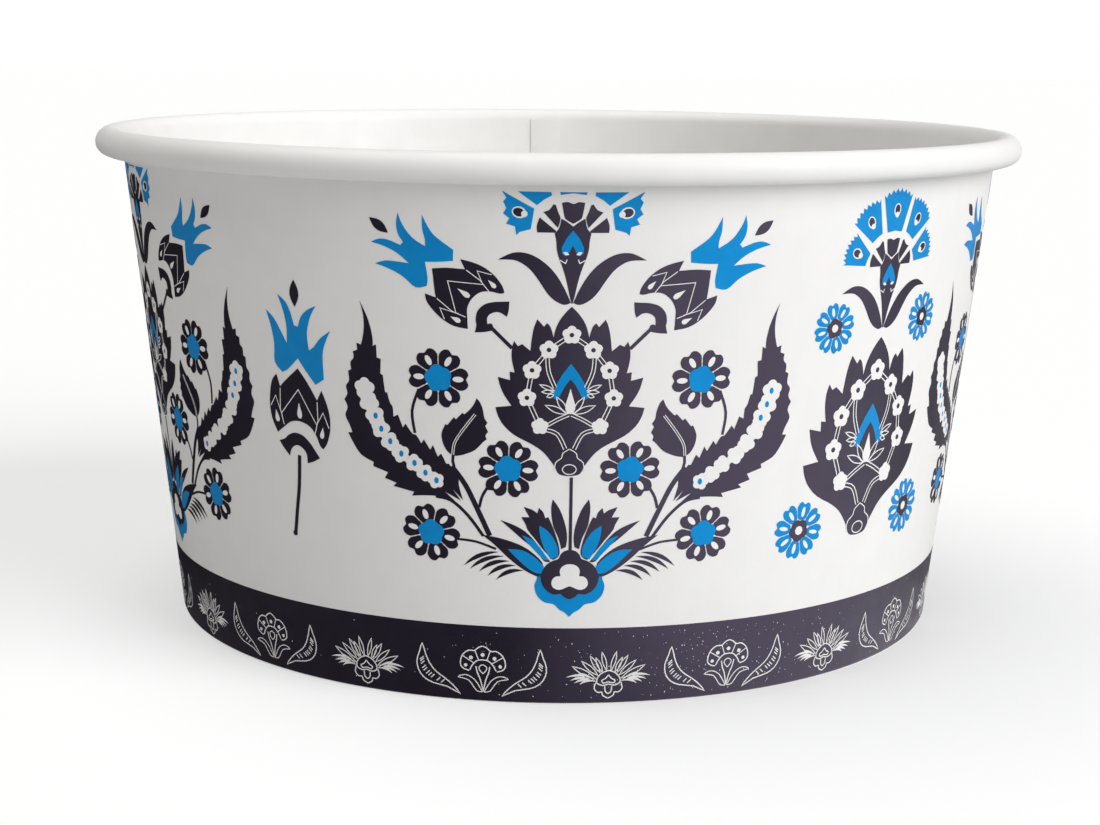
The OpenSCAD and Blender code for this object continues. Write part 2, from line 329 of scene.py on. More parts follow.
def satin(name, dark, light, cloud, rough, tooth, relief, gloss, sheen=(1, 1, 1)):
    """A satin coated surface: clouds of colour, drifting gloss and a fine tooth, sizes in mm."""
    material, nodes = new_material(name)
    wide, fine = noise(nodes, cloud, CLOUD_DETAIL), noise(nodes, tooth, TOOTH_DETAIL)
    bump = put(nodes, "Bump", Height=fine, Distance=relief * MM, Strength=TOOTH_STRENGTH)
    for place, value in (
        ("Base Color", clouded(nodes, wide, dark, light)), ("Roughness", spread(nodes, wide, NOISE_SPAN, *rough)),
        ("Specular IOR Level", gloss), ("Specular Tint", (*sheen, 1)), ("Normal", bump.outputs["Normal"]),
    ):
        feed(nodes["Principled BSDF"].inputs[place], value)
    return material


board_white = satin(
    "coated_board", (0.8, 0.795, 0.782), (0.825, 0.82, 0.807),
    cloud=5, rough=(0.5, 0.42), tooth=0.5, relief=0.03, gloss=0.3,
)
INK_FACE = {"cloud": 3, "rough": (0.44, 0.34), "tooth": 0.4, "relief": 0.02}
dark_ink = satin(
    "dark_gloss_ink", (0.006, 0.004, 0.009), (0.011, 0.008, 0.017), **INK_FACE, gloss=1, sheen=(0.8, 0.68, 1)
)
blue_ink = satin(
    "blue_gloss_ink", (0.001, 0.225, 0.57), (0.002, 0.255, 0.63), **INK_FACE, gloss=0.4, sheen=(0.3, 0.8, 1)
)
print("materials:", [m.name for m in (board_white, dark_ink, blue_ink)])

# %% [markdown]
# ## The wall, its hem and its roll
# We follow the face that touches the soup. It starts at the top of the hem, which is folded up
# inside the foot, goes down and round the fold, straight up the cone, over the top of the roll
# and in again for one and a quarter turns. A machine curls this rim with a heated die, and the
# board never lies perfectly even in it, so the roll gets a slow wave of a tenth of a millimetre.

# %% Wall
ROLL_TURN_2 = ROLL_R - (BOARD + ROLL_GAP) / 2
ROLL_TURN_3 = ROLL_TURN_2 - (BOARD + ROLL_GAP) / 2
FOLD_STEPS, ROLL_STEPS = 10, (20, 14, 5)
WAVES = ((5, 0.05, 0.4), (11, 0.035, 1.9), (23, 0.02, 4.1), (41, 0.012, 2.2))
WAVE_SHARE = 0.5


def wave_at(azimuth):
    """How far the roll is pressed at an azimuth: never out, only in."""
    return WAVE_SHARE * sum(size * (sin(count * azimuth + start) - 1) for count, size, start in WAVES)


def make_wall():
    mesh = bmesh.new()
    face = FOLD_R - BOARD
    end = start_line(mesh, on_wall(-face, HEM))
    end = run_to(mesh, end, on_wall(-face, 0))
    end = bend_round(mesh, end, on_wall(0, 0), -pi, FOLD_STEPS)
    end = run_to(mesh, end, on_wall(face, WALL_LENGTH), WALL_ROWS)
    end = bend_round(mesh, end, (ROLL_X, ROLL_Z), pi - LEAN, ROLL_STEPS[0])
    end = bend_round(mesh, end, (RIM_R - ROLL_TURN_2, ROLL_Z), pi, ROLL_STEPS[1])
    inner = RIM_R - 2 * ROLL_TURN_2 + ROLL_TURN_3
    bend_round(mesh, end, (inner, ROLL_Z), pi / 2, ROLL_STEPS[2])
    spin_shell(mesh, BOARD)
    push_seam(mesh)
    for vert in mesh.verts:
        x, y, z = vert.co
        # The wave fades in above the print, and moves the roll down and in by a hair only
        above = min(1, max(0, (z - (ROLL_Z - ROLL_R)) / ROLL_R))
        push = above * wave_at(atan2(y, x))
        push_out(vert, push)
        vert.co.z = max(0, z + push * WAVE_SHARE)
    return mesh


def make_lap():
    """The blank's inner end: a strip sealed to the wall's inner face, with its edges pressed down."""
    mesh = bmesh.new()
    face = FOLD_R - BOARD - LAP_DEPTH
    end = start_line(mesh, on_wall(face, LAP_FOOT))
    run_to(mesh, end, on_wall(face, WALL_LENGTH), WALL_ROWS)
    lap = LAP_WIDTH / ROLL_X
    start = SEAM - pi / 2 - lap / 2
    bmesh.ops.rotate(mesh, verts=mesh.verts, cent=(0, 0, 0), matrix=Matrix.Rotation(start, 3, "Z"))
    bmesh.ops.spin(mesh, geom=mesh.verts[:] + mesh.edges[:], axis=(0, 0, 1), angle=lap, steps=LAP_STEPS)
    for vert in mesh.verts:
        x, y, z = vert.co
        from_seam = abs((atan2(x, -y) - SEAM + pi) % (2 * pi) - pi)
        reach = LAP_DEPTH + seam_push(atan2(x, -y), beside_wall(hypot(x, y), z)[1])
        push_out(vert, reach * (2 * from_seam / lap) ** 2)
    thicken(mesh, LAP_DEPTH + SEAL_GAP)
    return mesh


finish_piece("bowl_wall", make_wall(), board_white, "paperboard", "sidewall")
finish_piece("inner_lap", make_lap(), board_white, "paperboard")

# %% [markdown]
# ## The base
# The base is a disc pressed into a shallow pan. Its floor stands seven millimetres above the
# table, and its skirt goes down between the wall and the hem, where it is sealed. We follow its
# upper face from the middle outwards, over the bend and down the skirt.

# %% Base
FLOOR_RINGS, BEND_STEPS = 8, 8


def make_base():
    mesh = bmesh.new()
    floor_z = RECESS + BOARD
    bend_z = floor_z - BASE_BEND
    skirt = BOARD / 2
    bend_up = (bend_z - FOLD_Z + (skirt - BASE_BEND) * sin(LEAN)) / cos(LEAN)
    bend_x = FOLD_X + (skirt - BASE_BEND) * cos(LEAN) + bend_up * sin(LEAN)
    end = start_line(mesh, (0, floor_z))
    end = run_to(mesh, end, (bend_x, floor_z), FLOOR_RINGS)
    end = bend_round(mesh, end, (bend_x, bend_z), pi / 2 + LEAN, BEND_STEPS)
    run_to(mesh, end, on_wall(skirt, SEAL_GAP))
    spin_shell(mesh, BOARD)
    return mesh


finish_piece("bowl_base", make_base(), board_white, "paperboard", "base_disc")

# %% [markdown]
# ## How the print is drawn
# A printer draws the pattern on the flat blank, a piece of a ring, and the cone takes it along
# when the blank is wrapped. We do the same. Each motif is drawn flat in millimetres, with x across
# from its own axis and y up the wall from the table. A shape is an outline that is filled, or a
# line with a width, and each has an ink and a level: a higher level lies over a lower one.

# %% Drawing tools
DARK, BLUE, BARE = "dark", "blue", "bare"


def fill(ink, level, points):
    return (ink, level, points, 0, False)


def line(ink, level, points, width, closed=False):
    return (ink, level, points, width, closed)


def dark(outline):
    return fill(DARK, 0, curved(outline))


def bare(points, width, closed=False):
    return line(BARE, 1, points, width, closed)


def smooth(points, steps=4, closed=False):
    """Points on a smooth curve through the given ones."""
    count = len(points)
    result = []
    for i in range(count if closed else count - 1):
        near = [(i + k) % count if closed else min(max(i + k, 0), count - 1) for k in (-1, 0, 1, 2)]
        a, b, c, d = (points[k] for k in near)
        for s in range(steps):
            t = s / steps
            result.append(tuple(
                0.5 * (2 * q + (r - p) * t + (2 * p - 5 * q + 4 * r - w) * t * t
                       + (3 * q - p - 3 * r + w) * t ** 3)
                for p, q, r, w in zip(a, b, c, d)
            ))
    return result if closed else result + [points[-1]]


def curved(points, steps=3, corner=50):
    """A closed outline with soft curves, that stays sharp where it turns by more than a corner."""
    count = len(points)
    sharp = []
    for i in range(count):
        into = Vector(points[i]) - Vector(points[i - 1])
        out = Vector(points[(i + 1) % count]) - Vector(points[i])
        sharp.append(abs(into.angle_signed(out)) > radians(corner))
    result = []
    for i in range(count):
        b, c = points[i], points[(i + 1) % count]
        a = b if sharp[i] else points[i - 1]
        d = c if sharp[(i + 1) % count] else points[(i + 2) % count]
        result += smooth([a, b, c, d], steps)[steps:2 * steps]
    return result


def polar(middle, radius, angle):
    """A point at an angle in degrees from straight up, clockwise."""
    return middle[0] + radius * sin(radians(angle)), middle[1] + radius * cos(radians(angle))


def moved(shapes, move, size=1):
    """The shapes with every point moved by a function, and their widths scaled."""
    return [
        (ink, level, [move(x, y) for x, y in points], width * size, closed)
        for ink, level, points, width, closed in shapes
    ]


def placed(shapes, size=1, angle=0, shift=(0, 0)):
    """The shapes scaled, turned anticlockwise by an angle and moved."""
    c, s = cos(radians(angle)) * size, sin(radians(angle)) * size
    return moved(shapes, lambda x, y: (c * x - s * y + shift[0], s * x + c * y + shift[1]), size)


def mirrored(shapes, axis=0):
    return moved(shapes, lambda x, y: (2 * axis - x, y))


def both(shapes, axis=0):
    return shapes + mirrored(shapes, axis)


def whole(half, axis=0):
    """A full outline from its left half, which starts and ends on the axis."""
    return half + [(2 * axis - x, y) for x, y in reversed(half[1:-1])]


def leaf(foot, tip, width, bow=0, steps=7):
    """Outline of a leaf between two points, bowed to its left by bow."""
    along = Vector((tip[0] - foot[0], tip[1] - foot[1]))
    side = Vector((-along.y, along.x)).normalized()
    edge = [[], []]
    for i in range(steps + 1):
        t = i / steps
        middle = Vector(foot) + along * t + side * bow * 4 * t * (1 - t)
        half = width / 2 * sin(pi * t)
        for k, way in enumerate((1, -1)):
            edge[k].append(tuple(middle + side * way * half))
    return edge[0] + edge[1][-2:0:-1]


def disc(middle, radius, corners=12, stretch=1):
    """A round or upright oval outline."""
    turns = [2 * pi * i / corners for i in range(corners)]
    return [(middle[0] + radius * sin(t), middle[1] + stretch * radius * cos(t)) for t in turns]


DROP_HALF = [(0, 0.5), (-0.2, 0.2), (-0.42, -0.1), (-0.45, -0.3), (-0.25, -0.48), (0, -0.5)]


def drop(middle, width, height, angle=0):
    """A bare drop with its point up, turned clockwise by an angle."""
    shape = fill(BARE, 1, [(x * width, y * height) for x, y in whole(DROP_HALF)])
    return placed([shape], 1, -angle, middle)[0]


# %% [markdown]
# ## Rosettes and little flowers
# The rosettes have six heart-shaped petals, each with a drop left bare, round a lobed middle.
# The little flowers on the palmette and on the long leaves are five soft lobes left bare, with a
# dark centre. Both are worked out by angle, so that one function draws them all.

# %% Rosettes
PETAL = ((-24, 0.4), (-28, 0.6), (-27.5, 0.8), (-19, 0.96), (-9, 1), (0, 0.91))
PETAL += tuple((-a, r) for a, r in PETAL[-2::-1])
DROP_AT, DROP_R, DROP_STRETCH = 0.65, 0.095, 1.9
HEART_R, HEART_NOTCH, FLOWER_NOTCH, CENTRE_R = 0.46, 0.15, 0.2, 0.25
LOBES, LOBED_CORNERS = 5, 40


def lobed(middle, radius, notch, turn=0):
    """A round outline of five lobes, with notches as deep as a share of its radius."""
    turns = [360 * i / LOBED_CORNERS for i in range(LOBED_CORNERS)]
    reach = [1 - notch + notch * abs(cos(radians(LOBES * a / 2))) for a in turns]
    return [polar(middle, radius * r, a + turn) for a, r in zip(turns, reach)]


def rosette(middle, radius, turn, petals=DARK, heart=BLUE, count=6):
    """Petals round a lobed heart. Where there are more than six, each is narrower."""
    shapes = []
    width = 6 / count
    for i in range(count):
        at = turn + 360 * i / count
        outline = [polar(middle, r * radius, at + a * width) for a, r in PETAL]
        shapes.append(fill(petals, 0, smooth(outline, 2, True)))
        opening = disc((0, 0), DROP_R * radius * width, stretch=DROP_STRETCH / width)
        shapes += placed([fill(BARE, 1, opening)], 1, -at, polar(middle, DROP_AT * radius, at))
    shapes.append(fill(heart, 2, lobed(middle, HEART_R * radius * width ** 0.5, HEART_NOTCH, turn + 30)))
    return shapes


def little_flower(middle, radius):
    return [fill(BARE, 2, lobed(middle, radius, FLOWER_NOTCH)), fill(DARK, 3, disc(middle, CENTRE_R * radius, 8))]


# %% [markdown]
# ## The palmette
# The dark heart of each bouquet is a palmette with jagged petals. Only its left half is listed,
# and the right half is its mirror image. Over it lie nine little flowers on a double line, a drop
# and a spray of small leaves in outline, all left bare in the dark ink, and a blue chevron.

# %% Palmette
PALMETTE_HALF = [
    (0, 23.9), (-0.8, 23.1), (-1.6, 22), (-2.1, 20.9), (-2.4, 19.6), (-2.6, 20.4), (-2.9, 21.2), (-3.3, 21.6),
    (-3.7, 21.1), (-4.6, 22.1), (-5, 21.1), (-5.3, 19.6), (-5.5, 17.7), (-6.6, 18.6), (-7.2, 18.3), (-7.7, 19),
    (-8, 18), (-8, 16.4), (-7.6, 14.6), (-8.3, 14.7), (-8.2, 13.5), (-9.9, 13.9), (-9.5, 12.4), (-8.9, 11.2),
    (-8, 9.9), (-10.2, 9.6), (-9.8, 8.3), (-9, 7), (-7.5, 5.7), (-5, 4.4), (-3.6, 3.4), (-2.6, 2.2), (-2, 1.3),
    (-1.6, 0.5), (-1.1, 0.15), (0, 0),
]
PALMETTE_FLOWERS = [(-3, 17.9), (-5.25, 15), (-5.9, 11.1), (-4.1, 7.1)]
CHEVRON = [
    (0, 16), (-1.2, 14.4), (-2, 12.9), (-2.45, 11.6), (-2.3, 11.1), (-1.7, 10.9), (-1.2, 12), (-0.6, 13.1), (0, 13.8),
]
FINE = 0.13


def double_line(points, gap, width=FINE):
    """Two fine bare lines side by side, along a curve."""
    path = smooth(points)
    return [bare(beside(path, way * gap / 2), width) for way in (-1, 1)]


def beside(path, distance):
    """The path moved sideways by a distance."""
    result = []
    for i, (x, y) in enumerate(path):
        before, after = path[max(i - 1, 0)], path[min(i + 1, len(path) - 1)]
        along = Vector((after[0] - before[0], after[1] - before[1])).normalized()
        result.append((x - along.y * distance, y + along.x * distance))
    return result


def palmette():
    """A palmette that stands on the origin, at the bouquet's size."""
    shapes = [dark(whole(PALMETTE_HALF))] + little_flower((0.05, 20), 1.3)
    half = []
    chain = [(0, 20)] + PALMETTE_FLOWERS
    for start, end in zip(chain, chain[1:]):
        half += double_line([start, end], 0.5)
    for flower in PALMETTE_FLOWERS[:3]:
        half += little_flower(flower, 1.3)
    # The lowest one has no centre
    half += little_flower(PALMETTE_FLOWERS[3], 1.2)[:1]
    half += double_line([(-3.2, 17), (-3, 14.8), (-2.1, 12.6)], 0.45)
    half += double_line([(-3.2, 7.2), (-1.7, 8.1), (-0.2, 8.8)], 0.4)
    half += double_line([(-3.3, 6.6), (-1.7, 6), (-0.6, 3.9)], 0.45)
    for foot, tip, width in (
        ((-0.4, 9), (-1.9, 11.3), 0.75), ((-0.5, 8.9), (-3.4, 10.1), 0.8), ((-2.2, 12.2), (-4.2, 13), 0.5),
        ((-2.3, 12), (-3.9, 12), 0.5), ((-2.3, 11.6), (-3.2, 11.3), 0.5),
    ):
        half.append(bare(leaf(foot, tip, width), FINE, True))
    half.append(bare(smooth([(-2, 0.7), (-1.9, 1.9), (-1.1, 2.6), (-0.9, 3.3), (0, 3.9)], 3), FINE))
    shapes += both(half)
    shapes += [fill(BLUE, 1, whole(CHEVRON)), drop((0, 10.7), 1.5, 3.6)]
    return shapes + [bare(disc((0, 0.95), 0.95, 16, 0.75), FINE, True)]


# %% [markdown]
# ## The carnation
# A fan of five blue petals with sawn edges stands round a calyx of dark lobes, on two long leaves.
# Each petal is drawn by angle from the fan's middle: a narrow foot, a wide sawn edge, and an eye.
# In the bouquet it stands so high that the print is cut off above its lowest petals, and those
# two hang lower than in the lone carnation, so they have an outline of their own.

# %% Carnation
FAN_MIDDLE = (0, 8.2)
FAN = ((0, 6.2, 11.4, 15, 16), (34.5, 6.5, 11.2, 10, 14.5), (66, 5.7, 9.7, 9.5, 14))
SAW_TEETH, SAW_OUT, SAW_IN, CROWN, EYE_UP = 7, 0.35, -0.2, 0.5, 0.4


def petal_eye(place, angle):
    """A bare ring, a dark core and a bare drop, turned clockwise by an angle."""
    eye = [
        fill(BARE, 1, disc((0, 0), 0.75, 12, 1.25)), fill(DARK, 2, disc((0, 0.05), 0.55, 12, 1.3)),
        fill(BARE, 3, disc((0, -0.7), 0.42, 10)),
    ]
    return placed(eye, 1, -angle, place)


def carnation_petal(angle, inner, outer, foot_half, edge_half):
    """One petal of the fan, with its eye."""
    rim = []
    for i in range(2 * SAW_TEETH + 1):
        a = -edge_half + edge_half * i / SAW_TEETH
        crown = CROWN * cos(radians(90 * a / edge_half))
        rim.append(polar(FAN_MIDDLE, outer + crown + (SAW_IN if i % 2 else SAW_OUT), angle + a))
    foot = [polar(FAN_MIDDLE, inner, angle + foot_half * k) for k in (1, 0, -1)]
    middle = polar(FAN_MIDDLE, (inner + outer) / 2 + EYE_UP, angle)
    return [fill(BLUE, 0, rim + foot)] + petal_eye(middle, angle)


CALYX_HALF = [
    (0, 10.2), (-0.8, 10.8), (-1.5, 11.2), (-1.75, 10), (-2.3, 9.3), (-2.1, 8.4), (-2, 7.2), (-1.7, 6.1),
    (-1.35, 5.2), (-0.95, 4), (-0.6, 2.6), (-0.3, 1.2), (-0.05, 0.3), (0, 0.3),
]
CALYX_LOBES = [
    [(-2.2, 9.4), (-4.5, 9.4), (-4.55, 10.3), (-4.2, 11.3), (-3.7, 10.9), (-2.1, 9.6)],
    [(-1.9, 10), (-3.75, 12), (-3, 12.3), (-2.5, 13), (-2.2, 12.9), (-1.9, 12), (-1.6, 11.2)],
    [(0, 10.55), (-0.9, 11.1), (-1.15, 11.6), (-1.45, 13.2), (-0.7, 13.3), (0, 13.05)],
]
CARNATION_LEAF = [
    (-0.15, 0.4), (-0.9, 2.1), (-1.9, 3.8), (-3, 5.1), (-4.5, 6.2), (-6, 6.75), (-7.6, 6.7), (-9.4, 5.8),
    (-7.4, 5.8), (-6.2, 5.3), (-5.2, 4.5), (-4.2, 3.2), (-3.2, 1.7), (-2.2, 0.7), (-1, 0.15),
]
LOW_PETAL = [
    (-9, 14.6), (-8.1, 14.1), (-6.6, 13.3), (-4.9, 12.4), (-5.1, 11), (-5.3, 9.8), (-6.7, 9.4), (-7.1, 9),
    (-7.3, 10.1), (-8.4, 10.4), (-8, 11.1), (-8.8, 11.7), (-8.4, 12.4), (-8.8, 13.2), (-8.4, 13.7),
]
CALYX_FLAME = [(0, 9.7), (-0.8, 8.7), (-1.4, 7.5), (-1.35, 6.8), (-0.9, 6.4), (-0.45, 6.9), (0, 7.8)]


def carnation(low=False):
    """A carnation that stands on the origin, at the column's size, or low in the bouquet."""
    shapes = []
    for angle, *sizes in FAN[:2] if low else FAN:
        for turn in (angle, -angle) if angle else (0,):
            shapes += carnation_petal(turn, *sizes)
    shapes += [dark(whole(CALYX_HALF)), dark(whole(CALYX_LOBES[2]))]
    shapes += both([dark(outline) for outline in (*CALYX_LOBES[:2], CARNATION_LEAF)])
    if low:
        shapes += both([fill(BLUE, 0, LOW_PETAL)] + petal_eye((-6.8, 11.9), -75))
    shapes.append(fill(BLUE, 1, whole(CALYX_FLAME)))
    barbs = [fill(BARE, 2, leaf((-1.2, 6.9), (-0.45, 6.6), 0.4)), bare([(-1.6, 5.9), (-0.9, 5.5), (-0.7, 6)], FINE)]
    return shapes + both(barbs)


# %% [markdown]
# ## The tulip
# The lone tulip is drawn as it leans on the wall, with four blue flames over a dark cup, a cap and
# a stem. The bouquet's tulips are the same drawing, smaller, turned outwards and without the stem.

# %% Tulip
FLAMES = [
    (-4.3, 55.4), (-3.6, 53.2), (-3.2, 50.6), (-3.4, 47.9), (-2.1, 46.5), (-0.9, 47.1), (1, 48.8), (2.3, 47),
    (3.8, 45.2), (5.3, 46.1), (5.4, 49.6), (6, 51.4), (7, 53.2), (5.2, 52), (4, 50.7), (3.1, 50.1), (3, 52.6),
    (3.8, 55), (4.9, 56.6), (3.3, 55.9), (2.1, 54.8), (1.5, 53.4), (0.8, 53.5), (0.3, 55.5), (-0.5, 56.9),
    (-1.8, 57.8), (-1, 55.6), (-0.6, 53.2), (-0.8, 50.8), (-1.8, 52.6), (-2.9, 54.3),
]
TULIP_CUP = [
    (-3.3, 46.1), (-2.8, 44.3), (-1.8, 45.2), (0.8, 47.3), (2.3, 45.4), (3.8, 42.9), (4.7, 44.4), (5.4, 42.6),
    (5.8, 40.5), (5.6, 38.4), (4.9, 36.6), (4.2, 35.8), (3.7, 36.3), (3.2, 37.6), (2.2, 38.9), (0.5, 39.5),
    (-1.2, 39.3), (-2.6, 38.4), (-4, 37.4), (-4.9, 39.4), (-5.1, 41.5), (-4.8, 43.5), (-4.2, 45.2),
]
TULIP_CAP = [
    (-3.8, 36.2), (-3.3, 35.5), (-2.8, 34.9), (-2, 34.1), (-1.8, 34.8), (-1.3, 35.5), (-0.3, 35.9), (0.7, 35.4),
    (1.2, 34.6), (1.2, 33.4), (2.2, 33.7), (3.5, 34.4), (2.9, 35.2), (2, 36.4), (0.8, 37.4), (-0.7, 37.7),
    (-2, 37.2), (-2.7, 36.6),
]
CUP_LINES = (
    [(-4.9, 41.3), (-3.8, 42.9), (-2.8, 39.9)], [(-2.9, 40.4), (0.6, 44.2), (3.4, 39.3), (4.7, 41.2), (5.5, 39)],
    [(-2.8, 44.1), (-3.1, 41), (-2.6, 38.7)], [(3.8, 42.7), (3.7, 40), (3, 37.9)],
)
CUP_DROPS = (((-3.85, 39.9), 0.9, 1.8, -8), ((0.5, 41.1), 0.95, 2.3, 0), ((4.3, 38.2), 0.8, 1.7, 12))
TULIP_STEM = [(-0.2, 34.4), (-0.7, 30), (-1.5, 26), (-2.2, 22.4)]


def tulip():
    """The lone tulip without its stem, in its own place on the wall."""
    shapes = [fill(BLUE, 0, curved(FLAMES)), dark(TULIP_CUP), dark(TULIP_CAP)]
    shapes.append(fill(DARK, 0, leaf((1.2, 56.2), (1.35, 60.1), 1.6)))
    shapes += [bare(path, FINE) for path in CUP_LINES]
    return shapes + [drop(*sizes) for sizes in CUP_DROPS]


def lone_tulip():
    return tulip() + [line(DARK, 0, smooth(TULIP_STEM), 0.6), fill(DARK, 0, disc((-2.25, 22.4), 0.42))]


# %% [markdown]
# ## The leaves
# The long leaf has a saw edge with large teeth low down and small ones near the tip, and a string
# of little flowers down its middle. The small leaf has a bare midrib. Both are listed for the
# left side of the bouquet and mirrored for the right.

# %% Leaves
LONG_LEAF = [
    (-29.7, 57.2), (-29.25, 55.6), (-29.1, 54), (-29.25, 52.4), (-29.6, 51), (-30.3, 51.2), (-30.2, 50.2),
    (-30.9, 49.9), (-30.8, 49), (-31.3, 48.3), (-31.2, 47.3), (-31.7, 47), (-31.6, 45.6), (-32.1, 44.8),
    (-31.9, 43.7), (-32.4, 42.8), (-31.9, 41.7), (-32.3, 40.5), (-31.6, 39.1), (-31.2, 38.1), (-31.9, 38),
    (-30.9, 36.3), (-29.8, 35), (-27.9, 34.2), (-28, 33.6), (-25.7, 33), (-26.2, 32.1), (-24.4, 31.6),
    (-24.9, 31.1), (-21.8, 30.6), (-22.1, 30), (-20.4, 30.25), (-18.5, 30.35), (-17, 30.1), (-15.9, 29.9),
    (-17.3, 31.1), (-15, 30), (-16.2, 31.6), (-14.7, 30.1), (-15.3, 32.2), (-15.4, 33.4), (-16.7, 35.2),
    (-17.1, 35.2), (-17.8, 36.6), (-18.3, 36.1), (-19, 37.7), (-19.4, 37), (-20.3, 38.4), (-20.7, 37.8),
    (-21.4, 38.9), (-22, 39.1), (-23, 40.4), (-23.4, 39.8), (-24.1, 41.6), (-24.8, 41.2), (-24.9, 42.6),
    (-25.3, 43.2), (-25.7, 44.6), (-26, 44.6), (-26.2, 46), (-26.3, 47), (-26.7, 47.2), (-26.6, 49.3),
    (-27.2, 49.4), (-27.3, 51.3), (-27.8, 51), (-27.8, 52), (-28.1, 53.6), (-28.7, 55.3),
]
BEADS = [
    (-29.15, 44.8), (-28.5, 42.9), (-27.6, 41.05), (-26.75, 39.25), (-25.4, 37.6), (-23.75, 36), (-21.8, 34.85),
    (-20.2, 33.6), (-18.6, 32.65),
]
SMALL_LEAF = [
    (-16.1, 36.5), (-16.9, 37), (-17.5, 38), (-17.75, 39.2), (-17.6, 40), (-17.2, 40.9), (-16.9, 40.8),
    (-16, 42), (-15.7, 41.7), (-14.8, 42.7), (-14.5, 42.5), (-13.7, 43.3), (-13.2, 44), (-12.8, 44.9),
    (-12.3, 44.3), (-11.9, 43.2), (-11.75, 42.2), (-11.3, 41.5), (-11.6, 41), (-11.2, 40.2), (-11.55, 39.7),
    (-11.4, 39.1), (-11.9, 38.7), (-13, 37.5), (-14.4, 36.8), (-15.4, 36.5),
]
BEAD_R, BEAD_SHRINK, BEAD_TURN = 1.6, 0.045, 25
DOT_SHIFT, DOT_R, DOT_STRETCH = 0.1, 0.33, 1.4


def bead_dots(beads):
    """A blue dot in the middle of each little flower of a long leaf."""
    return [fill(BLUE, 2, disc((x + DOT_SHIFT, y), DOT_R, stretch=DOT_STRETCH)) for x, y in beads]


def leaves():
    shapes = [dark(LONG_LEAF), dark(SMALL_LEAF)]
    for i, bead in enumerate(BEADS):
        shapes.append(fill(BARE, 1, lobed(bead, BEAD_R - BEAD_SHRINK * i, FLOWER_NOTCH, BEAD_TURN * i)))
    shapes.append(line(DARK, 0, smooth([(-16.3, 34.9), (-14.4, 32.4), (-12.7, 29), (-10.9, 25.1)]), 0.72))
    shapes.append(line(DARK, 0, smooth([(-18.6, 30.3), (-16.4, 29.9), (-14, 27.9), (-11.8, 25)]), 0.45))
    shapes += double_line([(-16.15, 36.6), (-15.9, 38.3), (-14.7, 40.3), (-13, 42.6)], 0.28, 0.1)
    shapes.append(line(DARK, 0, [(-16.1, 36.7), (-16.15, 35.6), (-15.9, 34.6)], 0.4))
    return shapes


# %% [markdown]
# ## The lotus
# The bouquet grows from a lotus: a dark dome with a bare trefoil over a blue cup, four pairs of
# dark petals with blue flames in them, and five lashes to each side. Its axis stands a little to
# the right of the bouquet's, so its left half is mirrored about that axis.

# %% Lotus
LOTUS_AXIS = 0.3
DOME_HALF = [
    (0.3, 23.4), (-0.5, 23.2), (-1, 22.7), (-1.3, 22.05), (-2, 21.8), (-2.9, 21.2), (-3.5, 20.3), (-3.75, 19.2),
    (-3.5, 18.1), (-2.8, 17.2), (-1.8, 16.7), (-1, 16.85), (-0.6, 16.5), (-0.2, 16.2), (0.3, 16.05),
]
TREFOIL_HALF = [
    (0.3, 21.3), (-0.4, 21.15), (-0.95, 20.7), (-1.1, 20.1), (-1, 19.5), (-1.6, 19.45), (-2.1, 19), (-2.25, 18.3),
    (-1.9, 17.7), (-1.2, 17.45), (-0.5, 17.65), (0.3, 18),
]
CUP_HALF = [
    (0.3, 19.6), (-3.8, 19.5), (-4.3, 18.9), (-4.6, 18), (-4.4, 16.9), (-3.9, 16.1), (-3.1, 15.5), (-2, 15.3),
    (-1.5, 14.9), (-1, 14.4), (-0.3, 14), (0.3, 13.35),
]
LOTUS_PETALS = [
    [(-2.2, 30.8), (-2.4, 29.6), (-2.3, 28), (-2, 26.6), (-1.3, 25), (-0.95, 23.5), (-0.3, 23.8), (-0.15, 25.2),
     (-0.4, 27), (-1.2, 29.3)],
    [(-6.2, 29.6), (-5, 29.2), (-4.3, 28.7), (-4.1, 29.5), (-3.5, 28.9), (-3.2, 28), (-2.8, 28.2), (-2.25, 27),
     (-1.55, 25), (-1.15, 23.2), (-1.4, 22.3), (-2.1, 21.9), (-3.3, 23.2), (-4.5, 24.8), (-5.6, 26.2), (-5.9, 27),
     (-6.5, 28.1), (-5.4, 28.1)],
    [(-9.4, 27.5), (-7.6, 26.9), (-6, 26), (-4.7, 24.7), (-3.4, 22.9), (-2.4, 21.6), (-3.3, 21.7), (-4.6, 23.4),
     (-6.2, 24.7), (-7.8, 26.1)],
    [(-12, 25.2), (-9.5, 24.85), (-7, 24.1), (-5.2, 23.1), (-3.5, 21.4), (-3.6, 20), (-3.5, 19.2), (-4.6, 19.5),
     (-6.4, 20.5), (-8.3, 22), (-10.2, 23.8)],
]
LOTUS_FLAMES = [
    [(-4, 26.9), (-3.9, 25.5), (-3.4, 23.8), (-2.4, 22), (-1.4, 22.4), (-1.4, 23.6), (-2, 25), (-2.9, 26.2)],
    [(-6.4, 25.4), (-5.1, 24.9), (-3.9, 23.7), (-2.7, 21.9), (-3.3, 21.9), (-4.4, 23), (-5.4, 24.1)],
    [(-8.4, 23.3), (-6.4, 23.2), (-4.7, 22.3), (-3.3, 20.9), (-3.5, 19.8), (-4.7, 20), (-6.3, 21.2)],
]
LASHES = (
    ((-9.6, 22.8), (-14.6, 20.4)), ((-8.9, 22.2), (-13.7, 20)), ((-8.1, 21.5), (-12.4, 19.7)),
    ((-7.2, 20.9), (-11.2, 19.1)), ((-6.1, 20.2), (-10, 18.6)),
)


